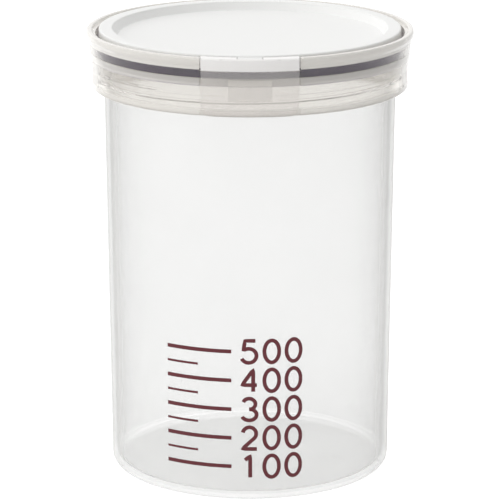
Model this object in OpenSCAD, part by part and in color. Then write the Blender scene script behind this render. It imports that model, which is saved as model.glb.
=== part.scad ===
// Round airtight canister with a flip-up lid.
// A jar with a screw neck carries a collar. The lid is hinged to the back of the collar
// and its front latch swings down over a catch. +Z is up, -Y is the front, and the origin
// is the centre of the foot. All sizes are in millimetres.

/* [Jar] */
// Outer radius of the jar at its neck
neck_r = 55.7; // [40:0.1:80]
// How much narrower the foot is than the neck, on the radius
foot_taper = 1.8; // [0:0.1:6]
// Wall thickness of the jar
jar_wall = 1.6; // [1.2:0.1:2]
// Height of the jar without the collar
jar_h = 160.9; // [100:0.1:220]
// Rounding of the outer bottom edge
foot_round = 3.8; // [3:0.1:7]
// Rounding where the wall meets the floor inside
floor_round = 3.2; // [2:0.1:6]
// Thickness of the floor
floor_t = 2.6; // [2:0.1:5]

/* [Thread] */
// Rise of the screw thread in one turn
thread_pitch = 3.4; // [3.2:0.1:4]
// Height of each thread ridge above its wall
thread_depth = 1.2; // [1:0.05:1.3]
// Width of a thread ridge at its root
thread_root_w = 1.4; // [1.1:0.1:1.5]
// Width of a thread ridge at its crest
thread_crest_w = 0.7; // [0.5:0.1:0.9]
// Turns of thread on the neck
neck_turns = 1.5; // [1:0.05:1.6]
// Turns of thread inside the collar
collar_turns = 1.4; // [1:0.05:1.5]

/* [Collar] */
// Wall thickness of the collar around the neck
skirt_wall = 3.1; // [2.8:0.1:4]
// How far the cup for the lid is wider than the bore around the neck, on the radius
cup_step = 1.6; // [1.4:0.1:2]
// Thickness of the rim around the cup
rim_wall = 3.6; // [3.4:0.1:4.4]
// How far the collar hangs below the top of the jar
collar_drop = 10.8; // [10.4:0.1:13]
// How far the mouth is narrower than the bore of the jar, on the radius
mouth_inset = 0.7; // [0.4:0.1:1.2]
// Thickness of the ledge under the gasket
ledge_t = 1.8; // [1.2:0.1:2.4]
// Depth of the cup above the ledge
cup_h = 8.1; // [8:0.1:9]

/* [Seals] */
// Thickness of the packing between the jar and the collar
packing_t = 1.2; // [0.8:0.1:2]
// Height of the lid gasket
gasket_h = 3.1; // [2.6:0.1:3.4]

/* [Lid] */
// Width of the raised ring on the lid
ring_w = 5.3; // [4.8:0.1:8]
// How far the lid ring stands above the collar rim
lid_proud = 0.4; // [0:0.1:0.8]
// Depth of the round field below the lid ring
field_depth = 3.1; // [2:0.1:3.3]
// How much narrower the round field is at its floor than at its top, on the radius
field_draft = 1.4; // [0:0.1:1.8]
// Wall thickness of the lid shells
lid_wall = 1.5; // [1.2:0.1:1.6]
// Depth of the plug below the gasket seat
plug_depth = 5.7; // [4:0.1:9]

/* [Latch] */
// Width of the latch
latch_w = 36; // [28:0.2:40]
// Thickness of the latch
latch_t = 1.1; // [0.9:0.05:1.2]
// How far the latch stands out from the collar
latch_proud = 0.6; // [0.6:0.05:1]
// Corner radius at the lower end of the latch
latch_corner_r = 3.5; // [2:0.5:6]
// Depth of the bay in the collar behind the latch, at its lower end
bay_depth = 0.8; // [0.7:0.05:1]
// Width of the catch in the bay
catch_w = 15.8; // [10:0.2:20]
// Height of the catch in the bay
catch_h = 8; // [5:0.1:9]
// How far the catch stands out of the bay
catch_proud = 0.55; // [0.3:0.05:0.6]
// Radius of the latch pin
latch_pin_r = 0.75; // [0.6:0.05:0.8]
// Radius of the latch knuckles
latch_knuckle_r = 1.4; // [1.3:0.05:1.5]
// Length of the latch pin
latch_pin_l = 22; // [16:0.5:24]
// Width of the lid knuckle on the latch pin
latch_leaf_w = 9; // [6:0.5:10]

/* [Lid hinge] */
// Radius of the lid pin
lid_pin_r = 1.2; // [1:0.05:1.4]
// Radius of the hinge knuckles
knuckle_r = 2.4; // [2.2:0.1:2.6]
// Width of the lid knuckle
leaf_w = 12; // [10:0.5:20]
// Width of each collar knuckle
ear_w = 6.7; // [5:0.1:9]
// Thickness of the leaf between the lid and its knuckle
leaf_t = 2.6; // [2:0.1:2.8]

/* [Clearances] */
// Gap between the thread of one piece and the wall of the other
thread_play = 0.4; // [0.3:0.05:0.6]
// Gap around the lid in its cup
lid_gap = 1.3; // [1:0.1:1.6]
// Gap around the gasket in the cup
gasket_gap = 0.4; // [0.3:0.05:0.8]
// Gap around the plug in the mouth
plug_gap = 0.5; // [0.4:0.1:0.8]
// Running clearance of the pins
pin_play = 0.05; // [0.03:0.01:0.08]
// Side clearance between moving pieces
side_play = 0.3; // [0.2:0.05:0.4]

/* [Hidden] */
$fn = 96;
thread_steps = 40;     // straight pieces in one turn of thread
thread_bite = 0.5;     // how deep a ridge is rooted in its wall
thread_fade = 0.06;    // part of a turn over which a ridge rises to its full height

// heights, from the table up
ledge_z = jar_h + packing_t;              // underside of the collar ledge
seat_z = ledge_z + ledge_t;               // top of the ledge, where the gasket lands
collar_low_z = jar_h - collar_drop;
collar_top_z = seat_z + cup_h;
gasket_z = seat_z + 0.1;
liner_z = gasket_z + gasket_h;            // underside of the liner flange
lid_top_z = collar_top_z + lid_proud;
field_z = lid_top_z - field_depth;        // top of the recessed field
field_low_z = field_z - lid_wall;
neck_thread_z = jar_h - 6.6;              // middle of the neck ridge where it starts
notch_z = liner_z - 0.3;                  // lower edge of the gap that the latch hangs in
catch_z = collar_low_z + 5.8;             // lower edge of the catch

// radii, from the neck outwards and inwards
foot_r = neck_r - foot_taper;
neck_bore_r = neck_r - jar_wall;
mouth_r = neck_bore_r - mouth_inset;
plug_r = mouth_r - plug_gap;
skirt_bore_r = neck_r + thread_depth + thread_play;
collar_low_r = skirt_bore_r + skirt_wall;
cup_r = skirt_bore_r + cup_step;
rim_r = cup_r + rim_wall;
lid_r = cup_r - lid_gap;
ring_in_r = lid_r - ring_w + lid_wall;    // outer side of the wall between the ring and the field
gasket_r = cup_r - gasket_gap;
bay_low_r = collar_low_r - bay_depth;     // bay floor at its lower end
bay_top_r = cup_r + 1.5;                  // bay floor at the gap in the rim

// the two pins
latch_axis_y = -(rim_r + latch_proud - latch_t - latch_knuckle_r - 0.2);
latch_axis_z = collar_top_z - latch_knuckle_r - 0.1;
lid_axis_y = rim_r + 0.8;
lid_axis_z = collar_top_z - 3;

// Radius of the bay floor at height z
function bay_r(z) = bay_low_r + (bay_top_r - bay_low_r) * (z - collar_low_z) / (notch_z - collar_low_z);

// Points of an arc of radius r round [x, z], from angle a to angle b
function arc(x, z, r, a, b, n) =
    [for (i = [0 : n]) [x + r * cos(a + (b - a) * i / n), z + r * sin(a + (b - a) * i / n)]];

// One thread ridge as a swept trapezoid. It faces out when side is 1 and in when side is -1.
module ridge(wall_r, side, start_z, start_turn, turns) {
    n = ceil(turns * thread_steps);
    root = thread_root_w / 2;
    crest = thread_crest_w / 2;
    function fade(t) = min(1, 0.1 + min(t, turns - t) / thread_fade);
    function section(t) =
        let (a = 360 * (start_turn + t), z = start_z + thread_pitch * (start_turn + t),
             h = thread_depth * fade(t))
        [for (p = [[-thread_bite, -root], [h, -crest], [h, crest], [-thread_bite, root]])
            [(wall_r + side * p[0]) * cos(a), (wall_r + side * p[0]) * sin(a), z + p[1]]];
    function facing(f) = side > 0 ? f : [f[2], f[1], f[0]];
    points = [for (i = [0 : n]) each section(turns * i / n)];
    ends = [[2, 1, 0], [3, 2, 0],
            [4 * n, 4 * n + 1, 4 * n + 2], [4 * n, 4 * n + 2, 4 * n + 3]];
    walls = [for (i = [0 : n - 1]) for (k = [0 : 3])
        let (a = 4 * i + k, b = 4 * i + (k + 1) % 4)
        each [[a, b, a + 4], [b, b + 4, a + 4]]];
    polyhedron(points, [for (f = concat(ends, walls)) facing(f)]);
}

// A turned shape between two heights, with its inner and outer radius at each of them
module cone_ring(z0, in0, out0, z1, in1, out1) {
    rotate_extrude() polygon([[in0, z0], [out0, z0], [out1, z1], [in1, z1]]);
}

// The part of its children in front of the jar that is as wide as w
module front(w) {
    intersection() {
        children();
        translate([-w / 2, -2 * rim_r, 0]) cube([w, 1.5 * rim_r, 2 * collar_top_z]);
    }
}

// A cylinder along X from x0 to x1, round [y, z]
module rod(r, x0, x1, y, z) {
    translate([x0, y, z]) rotate([0, 90, 0]) cylinder(r = r, h = x1 - x0);
}

module jar() {
    color([0.93, 0.94, 0.93, 0.5])
    union() {
        rotate_extrude() polygon(concat(
            [[0, 0]],
            arc(foot_r - foot_round, foot_round, foot_round, -90, 0, 6),
            [[neck_r, collar_low_z]],
            arc(neck_r - 0.5, jar_h - 0.5, 0.5, 0, 90, 3),
            arc(neck_bore_r + 0.5, jar_h - 0.5, 0.5, 90, 180, 3),
            [[neck_bore_r, collar_low_z]],
            arc(foot_r - jar_wall - floor_round, floor_t + floor_round, floor_round, 0, -90, 6),
            [[0, floor_t]]));
        ridge(neck_r, 1, neck_thread_z, 0, neck_turns);
    }
}

// The turned shape of the collar, before its gaps are cut
module collar_ring() {
    rotate_extrude() polygon(concat(
        [[skirt_bore_r + 0.4, collar_low_z]],
        arc(collar_low_r - 0.5, collar_low_z + 0.5, 0.5, -90, 0, 3),
        [[collar_low_r, ledge_z - 4.6], [rim_r - 1.3, ledge_z + 1.4], [rim_r - 1.2, ledge_z + 2.9]],
        [[rim_r - 1.1, collar_top_z - 5.8], [rim_r - 0.9, collar_top_z - 3.4]],
        [[rim_r - 0.2, collar_top_z - 2.3], [rim_r, collar_top_z - 1.7], [rim_r - 0.1, collar_top_z - 0.7]],
        [[rim_r - 0.4, collar_top_z - 0.2], [rim_r - 0.8, collar_top_z]],
        [[rim_r - 1.9, collar_top_z], [rim_r - 2.2, collar_top_z - 0.2]],
        [[rim_r - 2.6, collar_top_z - 1.2], [cup_r + 0.2, collar_top_z - 1.2]],
        [[cup_r, collar_top_z - 1.4], [cup_r, seat_z], [mouth_r + 0.4, seat_z]],
        [[mouth_r, seat_z - 0.4], [mouth_r, ledge_z], [skirt_bore_r, ledge_z]],
        [[skirt_bore_r, collar_low_z + 0.4]]));
}

module collar() {
    gap_w = latch_w + 2 * side_play + 0.2;
    slot_w = leaf_w + 2 * side_play;
    ear_x = slot_w / 2;
    color([0.92, 0.92, 0.91, 0.6])
    difference() {
        union() {
            difference() {
                collar_ring();
                // bay behind the latch
                front(gap_w) cone_ring(collar_low_z - 1, bay_r(collar_low_z - 1), 2 * rim_r,
                                       notch_z + 1, bay_r(notch_z + 1), 2 * rim_r);
                // gap in the rim above the bay
                front(gap_w) cone_ring(notch_z, cup_r - 1, 2 * rim_r, lid_top_z, cup_r - 1, 2 * rim_r);
            }
            ridge(skirt_bore_r, -1, neck_thread_z - thread_pitch / 2, 0.25, collar_turns);
            // catch
            front(catch_w) cone_ring(
                catch_z, bay_r(catch_z) - 0.5, bay_r(catch_z) + catch_proud,
                catch_z + catch_h, bay_r(catch_z + catch_h) - 0.5, bay_r(catch_z + catch_h) + catch_proud);
            // hinge knuckles at the back
            for (x = [-ear_x - ear_w, ear_x]) {
                rod(knuckle_r, x, x + ear_w, lid_axis_y, lid_axis_z);
                translate([x, 0, 0]) rotate([90, 0, 90]) linear_extrude(ear_w) polygon([
                    [cup_r + 1, lid_axis_z + 1.8], [lid_axis_y + 0.6, lid_axis_z + 1.8],
                    [lid_axis_y + knuckle_r, lid_axis_z], [collar_low_r - 0.6, ledge_z - 3]]);
            }
        }
        rod(lid_pin_r, -ear_x - 2 * ear_w, ear_x + 2 * ear_w, lid_axis_y, lid_axis_z);
        // room for the lid knuckle and its leaf
        rod(knuckle_r + side_play, -slot_w / 2, slot_w / 2, lid_axis_y, lid_axis_z);
        translate([-slot_w / 2, cup_r - 3, lid_top_z - leaf_t - side_play]) cube([slot_w, 20, 10]);
    }
}

module collar_packing() {
    color([0.80, 0.78, 0.82])
    rotate_extrude() translate([mouth_r + 0.2, jar_h])
        square([skirt_bore_r - mouth_r - 0.4, packing_t]);
}

module lid_gasket() {
    in_r = plug_r + 0.1;
    color([0.30, 0.24, 0.34])
    rotate_extrude() polygon(concat(
        [[in_r, gasket_z + 0.8], [in_r + 0.8, gasket_z]],
        [[in_r + 1.8, gasket_z], [in_r + 2.4, gasket_z + 0.6]],
        [[gasket_r - 1.8, gasket_z + 0.6]],
        arc(gasket_r - 0.6, gasket_z + 0.6, 0.6, -90, 0, 3),
        arc(gasket_r - 0.6, liner_z - 0.6, 0.6, 0, 90, 3),
        [[in_r, liner_z]]));
}

module lid_liner() {
    low_z = liner_z - plug_depth;
    flange_r = lid_r - lid_wall - 0.2;
    color([0.95, 0.95, 0.95])
    rotate_extrude() polygon(concat(
        [[0, field_low_z - lid_wall], [plug_r - lid_wall - 0.8, field_low_z - lid_wall]],
        [[plug_r - lid_wall, field_low_z - lid_wall - 0.8], [plug_r - lid_wall, low_z]],
        [[plug_r - 0.5, low_z], [plug_r, low_z + 0.5], [plug_r, liner_z]],
        [[flange_r, liner_z], [flange_r, liner_z + 1.2], [ring_in_r + 0.2, liner_z + 1.2]],
        [[ring_in_r + 0.2, field_low_z], [0, field_low_z]]));
}

module lid_cover() {
    in_r = lid_r - lid_wall;
    color([0.96, 0.96, 0.95])
    difference() {
        union() {
            rotate_extrude() polygon(concat(
                [[0, field_low_z], [ring_in_r - field_draft, field_low_z]],
                [[ring_in_r, lid_top_z - lid_wall]],
                [[in_r, lid_top_z - lid_wall], [in_r, liner_z + 0.1], [lid_r, liner_z + 0.1]],
                arc(lid_r - 0.6, lid_top_z - 0.6, 0.6, 0, 90, 3),
                arc(ring_in_r + 0.6 - lid_wall, lid_top_z - 0.6, 0.6, 90, 180, 3),
                [[ring_in_r - lid_wall - field_draft, field_z + 0.4]],
                [[ring_in_r - lid_wall - field_draft - 0.4, field_z], [0, field_z]]));
            // leaf and knuckle at the back
            translate([-leaf_w / 2, lid_r - 1, lid_top_z - leaf_t])
                cube([leaf_w, lid_axis_y - lid_r + 1, leaf_t - 0.1]);
            rod(knuckle_r, -leaf_w / 2, leaf_w / 2, lid_axis_y, lid_axis_z);
            // leaf and knuckle at the front
            translate([-latch_leaf_w / 2, latch_axis_y, latch_axis_z - latch_knuckle_r])
                cube([latch_leaf_w, 1 - lid_r - latch_axis_y, 2 * latch_knuckle_r - 0.1]);
            rod(latch_knuckle_r, -latch_leaf_w / 2, latch_leaf_w / 2, latch_axis_y, latch_axis_z);
        }
        rod(lid_pin_r + pin_play, -leaf_w, leaf_w, lid_axis_y, lid_axis_z);
        rod(latch_pin_r, -latch_leaf_w, latch_leaf_w, latch_axis_y, latch_axis_z);
    }
}

module lid_hinge_pin() {
    half = leaf_w / 2 + side_play + ear_w;
    color([0.75, 0.76, 0.78])
    rod(lid_pin_r, -half, half, lid_axis_y, lid_axis_z);
}

module latch() {
    low_z = collar_low_z + 0.1;
    low_r = collar_low_r + latch_proud;
    top_r = rim_r + latch_proud;
    bend_z = collar_top_z - 2.7;
    half = latch_w / 2;
    near_x = latch_leaf_w / 2 + side_play;
    bore_x = latch_pin_l / 2 + pin_play;
    color([0.93, 0.93, 0.92, 0.6])
    difference() {
        union() {
            // the front plate and its top, which reaches back to the lid
            intersection() {
                rotate_extrude() polygon([
                    [low_r - latch_t, low_z], [low_r, low_z], [top_r, bend_z],
                    [top_r, collar_top_z - 0.5], [top_r - 0.5, collar_top_z],
                    [cup_r - 0.2, collar_top_z], [cup_r - 0.2, collar_top_z - 0.7],
                    [top_r - latch_t, collar_top_z - 0.7], [top_r - latch_t, bend_z]]);
                translate([0, -lid_r / 2, 0]) rotate([90, 0, 0]) linear_extrude(lid_r) polygon(concat(
                    arc(half - latch_corner_r, low_z + latch_corner_r, latch_corner_r, -90, 0, 6),
                    [[half, collar_top_z + 1], [-half, collar_top_z + 1]],
                    arc(-half + latch_corner_r, low_z + latch_corner_r, latch_corner_r, 180, 270, 6)));
            }
            // its two knuckles, each with a foot on the plate
            for (x = [-latch_pin_l / 2, near_x]) {
                rod(latch_knuckle_r, x, x + latch_pin_l / 2 - near_x, latch_axis_y, latch_axis_z);
                translate([x, 0.5 + latch_t - top_r, latch_axis_z - latch_knuckle_r]) mirror([0, 1, 0])
                    cube([latch_pin_l / 2 - near_x, latch_t / 2, 2 * latch_knuckle_r]);
            }
        }
        // bore, closed at both ends so that the face of the latch stays whole
        rod(latch_pin_r + pin_play, -bore_x, bore_x, latch_axis_y, latch_axis_z);
        // slot in the top for the lid knuckle
        translate([-near_x, latch_axis_y - latch_knuckle_r - 0.2, collar_top_z - 2 * latch_knuckle_r])
            cube([2 * near_x, 2 * latch_knuckle_r + 4, 2 * latch_knuckle_r + 1]);
    }
}

module latch_pin() {
    color([0.75, 0.76, 0.78])
    rod(latch_pin_r, -latch_pin_l / 2, latch_pin_l / 2, latch_axis_y, latch_axis_z);
}

jar();
collar();
collar_packing();
lid_cover();
lid_liner();
lid_gasket();
lid_hinge_pin();
latch();
latch_pin();
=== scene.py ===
import math

import bpy
import numpy as np
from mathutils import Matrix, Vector


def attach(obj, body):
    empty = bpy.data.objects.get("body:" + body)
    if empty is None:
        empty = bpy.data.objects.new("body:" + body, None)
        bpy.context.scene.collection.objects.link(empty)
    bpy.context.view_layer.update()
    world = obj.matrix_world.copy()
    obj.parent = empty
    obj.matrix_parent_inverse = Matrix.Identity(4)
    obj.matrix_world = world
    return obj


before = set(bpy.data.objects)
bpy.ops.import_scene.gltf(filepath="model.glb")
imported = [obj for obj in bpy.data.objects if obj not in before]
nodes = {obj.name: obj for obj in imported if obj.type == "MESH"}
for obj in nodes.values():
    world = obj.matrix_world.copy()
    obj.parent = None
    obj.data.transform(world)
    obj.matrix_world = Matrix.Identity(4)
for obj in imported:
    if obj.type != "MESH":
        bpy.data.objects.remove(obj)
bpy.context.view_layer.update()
print("frame loaded")

mm = 0.001
roundSamples = 4      # rays with which a rounded edge is found
driftSpan = (0.3, 0.7)      # where the slow noise of a moulding starts and ends
driftShare = 0.03     # how much the milk of a plastic drifts with that noise
glowReach = 0.004     # how far light spreads in the solid plastics, in m
creaseAngle = 30      # edges sharper than this stay crisp, in degrees
farOut = 200.0        # beyond every piece, in mm


def linear(hexColour):
    # sRGB channel c to linear light: ((c + 0.055) / 1.055) ^ 2.4, or c / 12.92 near black
    parts = [int(hexColour[i:i + 2], 16) / 255 for i in (1, 3, 5)]
    return [c / 12.92 if c <= 0.04045 else ((c + 0.055) / 1.055) ** 2.4 for c in parts] + [1.0]


def addNode(tree, kind, settings=None, links=None):
    # settings: socket or property to value, links: socket to the output that feeds it
    node = tree.nodes.new(kind)
    for name, value in (settings or {}).items():
        if isinstance(name, int) or name in node.inputs:
            node.inputs[name].default_value = value
        else:
            setattr(node, name, value)
    for name, source in (links or {}).items():
        tree.links.new(source, node.inputs[name])
    return node


def addMath(tree, operation, first, second, clamp=False):
    # each term is an output that feeds it, or a number
    node = addNode(tree, "ShaderNodeMath", {"operation": operation, "use_clamp": clamp})
    for i, term in enumerate((first, second)):
        if isinstance(term, float):
            node.inputs[i].default_value = term
        else:
            tree.links.new(term, node.inputs[i])
    return node.outputs[0]


def mixShaders(tree, share, first, second):
    # share 0 gives the first, 1 the second
    links = {1: first.outputs[0], 2: second.outputs[0]}
    if isinstance(share, float):
        return addNode(tree, "ShaderNodeMixShader", {"Fac": share}, links)
    return addNode(tree, "ShaderNodeMixShader", None, {"Fac": share, **links})


def newMaterial(name):
    material = bpy.data.materials.new(name)
    material.use_nodes = True
    material.node_tree.nodes.clear()
    return material, material.node_tree


def finishMaterial(tree, surface):
    addNode(tree, "ShaderNodeOutputMaterial", None, {"Surface": surface.outputs[0]})


def mouldedBump(tree, values):
    # fine unevenness of a moulded skin, as a height in metres, over edges rounded by roundMm
    place = addNode(tree, "ShaderNodeTexCoord").outputs["Object"]
    grain = addNode(tree, "ShaderNodeTexNoise", {"Scale": 1000 / values["grainMm"], "Detail": 3.0},
                    {"Vector": place})
    bump = addNode(tree, "ShaderNodeBump", {"Strength": 1.0, "Distance": values["depthMm"] * mm},
                   {"Height": grain.outputs["Fac"]})
    if values.get("roundMm"):
        rounded = addNode(tree, "ShaderNodeBevel",
                          {"samples": roundSamples, "Radius": values["roundMm"] * mm})
        tree.links.new(rounded.outputs["Normal"], bump.inputs["Normal"])
    return place, grain.outputs["Fac"], bump.outputs["Normal"]


def shadeOf(tree, values, noise):
    # the piece's colour, wandering a little between two near shades
    return addNode(tree, "ShaderNodeMixRGB", {
        "Color1": linear(values["colour"]), "Color2": linear(values["colourLow"])},
        {"Fac": noise}).outputs["Color"]


def zone(low, high, soft, amount, halfW=90.0, back=farOut):
    # extra milk where low < z < high, |x| < halfW and y < back, with soft ends, all in mm
    return {"low": low, "high": high, "soft": soft, "amount": amount, "halfW": halfW, "back": back}


def zoneMilk(tree, place, spot):
    # the spot's amount inside it and 0 outside: a product of one ramp for each end
    parts = addNode(tree, "ShaderNodeSeparateXYZ", None, {"Vector": place}).outputs
    wide = addNode(tree, "ShaderNodeMath", {"operation": "ABSOLUTE"}, {0: parts["X"]}).outputs[0]
    ends = [(wide, spot["halfW"], -1), (parts["Z"], spot["low"], 1), (parts["Z"], spot["high"], -1),
            (parts["Y"], spot["back"], -1)]
    milk = spot["amount"]
    for source, limit, sign in ends:
        half = spot["soft"] * sign / 2
        ramp = addNode(tree, "ShaderNodeMapRange", {
            "From Min": (limit - half) * mm, "From Max": (limit + half) * mm}, {"Value": source})
        milk = addMath(tree, "MULTIPLY", ramp.outputs[0], milk)
    return milk


def milkShare(tree, values, place, drift, normal):
    # share of light that the wall clouds: milk square on, edgeMilk edge on, where the way through is long
    facing = addNode(tree, "ShaderNodeLayerWeight", {"Blend": 0.5}, {"Normal": normal})
    ramp = addNode(tree, "ShaderNodeMapRange", {
        "From Min": values["edgeFrom"], "From Max": values["edgeTo"]},
        {"Value": facing.outputs["Facing"]})
    edge = addMath(tree, "POWER", ramp.outputs[0], values["edgePower"])
    cloudy = addNode(tree, "ShaderNodeMapRange", {
        "To Min": values["milk"], "To Max": values["edgeMilk"]}, {"Value": edge})
    uneven = addNode(tree, "ShaderNodeMapRange", {
        "From Min": driftSpan[0], "From Max": driftSpan[1],
        "To Min": 1 - driftShare, "To Max": 1 + driftShare}, {"Value": drift})
    amount = addMath(tree, "MULTIPLY", cloudy.outputs[0], uneven.outputs[0])
    for extra in values["zones"]:
        amount = addMath(tree, "ADD", amount, zoneMilk(tree, place, extra), clamp=True)
    return amount


def frostedPlastic(name, values):
    material, tree = newMaterial(name)
    place, _, normal = mouldedBump(tree, values)
    drift = addNode(tree, "ShaderNodeTexNoise", {"Scale": 1000 / values["driftMm"], "Detail": 1.0},
                    {"Vector": place}).outputs["Fac"]
    amount = milkShare(tree, values, place, drift, normal)
    shade = shadeOf(tree, values, drift)
    milky = addNode(tree, "ShaderNodeBsdfPrincipled", {
        "Roughness": values["rough"], "IOR": values["ior"]}, {"Base Color": shade, "Normal": normal})
    clear = addNode(tree, "ShaderNodeBsdfTransparent", {"Color": linear(values["tint"])})
    if values["thick"]:
        # a thick moulding bends what is seen through it, and lets lamp light straight in
        share = addMath(tree, "SUBTRACT", 1.0, amount)
        tree.links.new(share, milky.inputs["Transmission Weight"])
        ray = addNode(tree, "ShaderNodeLightPath").outputs
        straight = addMath(tree, "MAXIMUM", ray["Is Shadow Ray"], ray["Is Diffuse Ray"])
        body = mixShaders(tree, addMath(tree, "MULTIPLY", straight, share), milky, clear)
    else:
        # a thin wall lets through what is behind it, and its milk is lit from both sides
        back = addNode(tree, "ShaderNodeBsdfTranslucent", None, {"Color": shade, "Normal": normal})
        body = mixShaders(tree, amount, clear, mixShaders(tree, 0.5, back, milky))
    finishMaterial(tree, body)
    return material


def solidPlastic(name, values):
    material, tree = newMaterial(name)
    _, grain, normal = mouldedBump(tree, values)
    surface = addNode(tree, "ShaderNodeBsdfPrincipled", {
        "Roughness": values["rough"], "IOR": values["ior"], "Subsurface Weight": values["glow"],
        "Subsurface Radius": (glowReach, glowReach, glowReach)},
        {"Base Color": shadeOf(tree, values, grain), "Normal": normal})
    finishMaterial(tree, surface)
    return material


def dress(target, material):
    mesh = target.data
    mesh.materials.clear()
    mesh.materials.append(material)
    mesh.shade_smooth()
    mesh.set_sharp_from_angle(angle=math.radians(creaseAngle))


# see-through wall that greys towards its sides, with a clearer floor
jarPlastic = frostedPlastic("injection moulded frosted polypropylene", {
    "thick": False, "colour": "#dededc", "colourLow": "#dbdbd9", "tint": "#fefefe",
    "rough": 0.3, "ior": 1.45, "grainMm": 0.6, "depthMm": 0.002, "driftMm": 40,
    "milk": 0.145, "edgeMilk": 0.78, "edgeFrom": 0.0, "edgeTo": 1.0, "edgePower": 3.6,
    "zones": [zone(-5.0, 3.0, 0.4, -0.12)]})
# clear, warm and bending: the gasket and the threads show through as lines
collarPlastic = frostedPlastic("injection moulded translucent polypropylene", {
    "thick": True, "colour": "#f2efea", "colourLow": "#efece7", "tint": "#faf8f6",
    "rough": 0.1, "ior": 1.45, "grainMm": 0.5, "depthMm": 0.003, "driftMm": 30, "roundMm": 0.15,
    "milk": 0.02, "edgeMilk": 0.6, "edgeFrom": 0.62, "edgeTo": 0.8, "edgePower": 1.0,
    # cloudier above the gasket, at the lower edge, round the ledge, and at the catch
    "zones": [zone(167.5, 175.0, 0.3, 0.75), zone(149.0, 152.4, 0.8, 0.4), zone(161.6, 164.2, 0.3, 0.5),
              zone(155.9, 163.9, 0.2, 0.25, halfW=7.9, back=-50.0)]})
# one more milky layer over the collar, solid white in the strip where it hangs
latchPlastic = frostedPlastic("injection moulded latch polypropylene", {
    "thick": True, "colour": "#f9f7f5", "colourLow": "#f6f4f2", "tint": "#fbfaf9",
    "rough": 0.1, "ior": 1.45, "grainMm": 0.5, "depthMm": 0.003, "driftMm": 30, "roundMm": 0.2,
    "milk": 0.14, "edgeMilk": 0.95, "edgeFrom": 0.0, "edgeTo": 1.0, "edgePower": 2.5,
    "zones": [zone(167.5, 175.0, 0.3, 1.0)]})
# opaque and evenly white, with a soft sheen
lidPlastic = solidPlastic("white polypropylene, satin moulded", {
    "colour": "#f3f3f2", "colourLow": "#eeeeec", "rough": 0.4, "ior": 1.45, "glow": 0.05,
    "grainMm": 0.5, "depthMm": 0.003})
# nearly black purple rubber, matt
plumSilicone = solidPlastic("plum silicone, compression moulded", {
    "colour": "#30124c", "colourLow": "#280f40", "rough": 0.55, "ior": 1.41, "glow": 0.0,
    "grainMm": 0.4, "depthMm": 0.01})
# pale rubber that light soaks into
paleSilicone = solidPlastic("natural silicone, compression moulded", {
    "colour": "#d9d7e2", "colourLow": "#cfcdd9", "rough": 0.5, "ior": 1.41, "glow": 0.2,
    "grainMm": 0.4, "depthMm": 0.01})
for nodeName, material in {
        "jar": jarPlastic, "collar": collarPlastic, "latch": latchPlastic, "lid_cover": lidPlastic,
        "lid_liner": lidPlastic, "lid_gasket": plumSilicone, "collar_packing": paleSilicone,
        "lid_hinge_pin": lidPlastic, "latch_pin": lidPlastic}.items():
    dress(nodes[nodeName], material)
print("materials on the frame")

# the fill scale printed on the front of the jar, in maroon ink, all in mm
scaleValues = {
    # the wall it lies on, and how far off it the ink stands
    "footR": 53.9, "neckR": 55.7, "footZ": 3.8, "neckZ": 150.1, "lift": 0.06,
    # the inside of the jar, and the marks
    "floorZ": 2.6, "boreR": 53.0, "stepMl": 100, "marks": 5,
    "left": -33.0, "stroke": 1.5, "shortStroke": 0.6, "tickW": 26.0, "shortW": 13.0,
    "digitX": 4.0, "digitH": 8.6, "digitW": 5.6, "digitGap": 2.8}


def arcPoints(cx, cy, rx, ry, a, b, count):
    t = np.radians(np.linspace(a, b, count))
    return np.stack([cx + rx * np.cos(t), cy + ry * np.sin(t)], 1)


# thin strokes of each digit in a box 1 wide and 1 high
digitStrokes = {
    "0": [arcPoints(0.5, 0.5, 0.5, 0.5, 0, 360, 40)],
    "1": [np.array([[0.2, 0.8], [0.55, 1.0], [0.55, 0.0]])],
    "2": [np.vstack([arcPoints(0.5, 0.7, 0.45, 0.3, 170, -35, 20), [[0.02, 0.0], [1.0, 0.0]]])],
    "3": [arcPoints(0.48, 0.75, 0.42, 0.25, 160, -90, 20),
          arcPoints(0.48, 0.26, 0.5, 0.26, 90, -160, 22)],
    "4": [np.array([[0.75, 0.0], [0.75, 1.0], [0.0, 0.3], [1.0, 0.3]])],
    "5": [np.vstack([[[0.9, 1.0], [0.2, 1.0], [0.1, 0.55]],
                     arcPoints(0.45, 0.32, 0.52, 0.32, 125, -155, 24)])],
}


def jarPoint(points):
    # flat point (u, z) in mm wrapped on the cone of the wall: angle = u / r(z)
    v = scaleValues
    u, z = points[:, 0], points[:, 1]
    up = (z - v["footZ"]) / (v["neckZ"] - v["footZ"])
    r = v["footR"] + (v["neckR"] - v["footR"]) * up + v["lift"]
    a = u / r
    return np.stack([r * np.sin(a), -r * np.cos(a), z], 1) * mm


def ribbon(line, width):
    # a stroke of one width along a flat line, with points no more than 1 mm apart
    steps = [line[:1]]
    for p, q in zip(line[:-1], line[1:]):
        n = max(1, int(np.ceil(np.linalg.norm(q - p))))
        t = np.arange(1, n + 1)[:, None] / n
        steps.append(p + (q - p) * t)
    line = np.vstack(steps)
    along = np.gradient(line, axis=0)
    along /= np.linalg.norm(along, axis=1)[:, None]
    side = np.stack([-along[:, 1], along[:, 0]], 1) * width / 2
    n = len(line)
    points = np.vstack([line + side, line - side])
    i = np.arange(n - 1)
    return points, np.stack([i + 1, i, i + n, i + n + 1], 1)


def levelOf(ml):
    # height of a fill level: floor + volume / area of the bore
    return scaleValues["floorZ"] + ml * 1000 / (math.pi * scaleValues["boreR"] ** 2)


def tick(z, width):
    left = scaleValues["left"]
    return np.array([[left, z], [left + width, z]])


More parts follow.
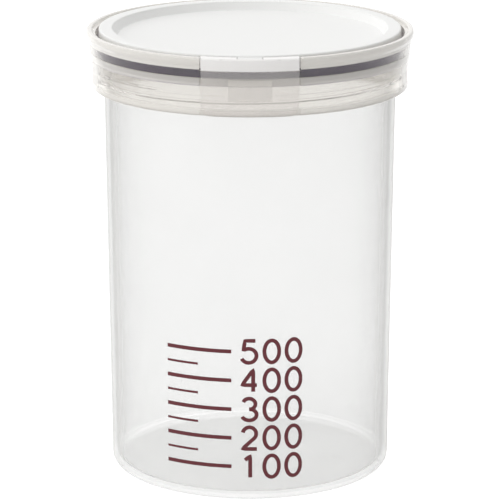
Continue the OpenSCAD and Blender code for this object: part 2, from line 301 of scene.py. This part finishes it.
def scaleStrokes():
    # flat lines with their widths: a long tick and a number at each step, a short tick between
    v = scaleValues
    strokes = []
    for mark in range(1, v["marks"] + 1):
        ml = mark * v["stepMl"]
        z = levelOf(ml)
        strokes.append((tick(z, v["tickW"]), v["stroke"]))
        if mark < v["marks"]:
            half = levelOf(ml + v["stepMl"] / 2)
            strokes.append((tick(half, v["shortW"]), v["stroke"] * v["shortStroke"]))
        x = v["left"] + v["tickW"] + v["digitX"]
        for digit in str(ml):
            for stroke in digitStrokes[digit]:
                flat = stroke * [v["digitW"], v["digitH"]] + [x, z - v["digitH"] / 2]
                strokes.append((flat, v["stroke"]))
            x += v["digitW"] + v["digitGap"]
    return strokes


def printScale():
    points, faces, start = [], [], 0
    for line, width in scaleStrokes():
        p, f = ribbon(line, width)
        points.append(p)
        faces.append(f + start)
        start += len(p)
    mesh = bpy.data.meshes.new("jar_fill_scale")
    mesh.from_pydata(jarPoint(np.vstack(points)).tolist(), [], np.vstack(faces).tolist())
    scale = bpy.data.objects.new("jar_fill_scale", mesh)
    bpy.context.scene.collection.objects.link(scale)
    return scale


# flat dark red with the faint sheen of dried ink
maroonInk = solidPlastic("maroon screen printing ink", {
    "colour": "#640f1e", "colourLow": "#580c19", "rough": 0.4, "ior": 1.5, "glow": 0.0,
    "grainMm": 0.3, "depthMm": 0.003})
fillScale = printScale()
dress(fillScale, maroonInk)
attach(fillScale, "jar")
print("fill scale")

# camera fitted to the photo's circles: lens and sensor in mm, place in m, tilt down in degrees
cameraValues = {"lens": 231.06, "sensor": 36.0, "place": (0.0, -1.2038, 0.4018), "tilt": 14.78, "reach": 20.0}
cameraData = bpy.data.cameras.new("camera")
cameraData.lens = cameraValues["lens"]
cameraData.sensor_width = cameraValues["sensor"]
cameraData.clip_end = cameraValues["reach"]
camera = bpy.data.objects.new("camera", cameraData)
camera.location = cameraValues["place"]
camera.rotation_euler = (math.radians(90 - cameraValues["tilt"]), 0.0, 0.0)
bpy.context.scene.collection.objects.link(camera)
bpy.context.scene.camera = camera


def seenDirectly(tree):
    # 1 for rays from the camera, also after a mirror or clear plastic, 0 for the light on things
    ray = addNode(tree, "ShaderNodeLightPath").outputs
    either = addMath(tree, "ADD", ray["Is Camera Ray"], ray["Is Glossy Ray"])
    return addMath(tree, "ADD", either, ray["Is Transmission Ray"], clamp=True)


# white room, with grey cards and a bright one, each by a direction:
# axis, where it starts and ends, share of the light left there
roomLevel = 1.18
roomCards = [("X", 0.2, 0.95, 0.15), ("X", -0.4, -0.95, 1.35), ("Y", -0.3, -0.85, 0.64)]
world = bpy.data.worlds.new("studio")
bpy.context.scene.world = world
world.use_nodes = True
sky = world.node_tree
sky.nodes.clear()
look = addNode(sky, "ShaderNodeTexCoord")
axes = addNode(sky, "ShaderNodeSeparateXYZ", None, {"Vector": look.outputs["Generated"]})
level = roomLevel
for axis, start, end, left in roomCards:
    card = addNode(sky, "ShaderNodeMapRange", {
        "From Min": start, "From Max": end, "To Min": 1.0, "To Max": left},
        {"Value": axes.outputs[axis]})
    level = addMath(sky, "MULTIPLY", card.outputs[0], level)
room = addNode(sky, "ShaderNodeBackground", {"Color": linear("#ffffff")}, {"Strength": level})
seen = addNode(sky, "ShaderNodeBackground", {"Color": linear("#ffffff"), "Strength": 1.0})
backdrop = mixShaders(sky, seenDirectly(sky), room, seen)
addNode(sky, "ShaderNodeOutputWorld", None, {"Surface": backdrop.outputs[0]})

# matt board that glows a little where it is seen, so only its shadow is darker than white, sizes in m
floorValues = {"half": 3.0, "z": -0.0003, "colour": "#dddddd", "glow": 0.55}
board, boardTree = newMaterial("matt white board")
matt = addNode(boardTree, "ShaderNodeBsdfDiffuse", {"Color": linear(floorValues["colour"])})
lift = addMath(boardTree, "MULTIPLY", seenDirectly(boardTree), floorValues["glow"])
glow = addNode(boardTree, "ShaderNodeEmission", {"Color": linear("#ffffff")}, {"Strength": lift})
finishMaterial(boardTree, addNode(boardTree, "ShaderNodeAddShader", None,
                                  {0: matt.outputs[0], 1: glow.outputs[0]}))
h, z = floorValues["half"], floorValues["z"]
floorMesh = bpy.data.meshes.new("floor")
floorMesh.from_pydata([(-h, -h, z), (h, -h, z), (h, h, z), (-h, h, z)], [], [(0, 1, 2, 3)])
floorMesh.materials.append(board)
floor = bpy.data.objects.new("floor", floorMesh)
bpy.context.scene.collection.objects.link(floor)

# soft lamp over the left shoulder: place, aim and side in m, power in watts
keyValues = {"place": (-0.7, -0.9, 1.1), "aim": (0.0, 0.0, 0.1), "side": 0.6, "watts": 0.5}
keyData = bpy.data.lights.new("key", "AREA")
keyData.size = keyValues["side"]
keyData.energy = keyValues["watts"]
key = bpy.data.objects.new("key", keyData)
key.location = keyValues["place"]
toAim = Vector(keyValues["aim"]) - Vector(keyValues["place"])
key.rotation_euler = toAim.to_track_quat("-Z", "Y").to_euler()
bpy.context.scene.collection.objects.link(key)

# enough clear layers for a look through the jar, the collar and the latch, front and back
bpy.context.scene.cycles.transparent_max_bounces = 32
bpy.context.scene.view_settings.view_transform = "Standard"
print("camera and light")
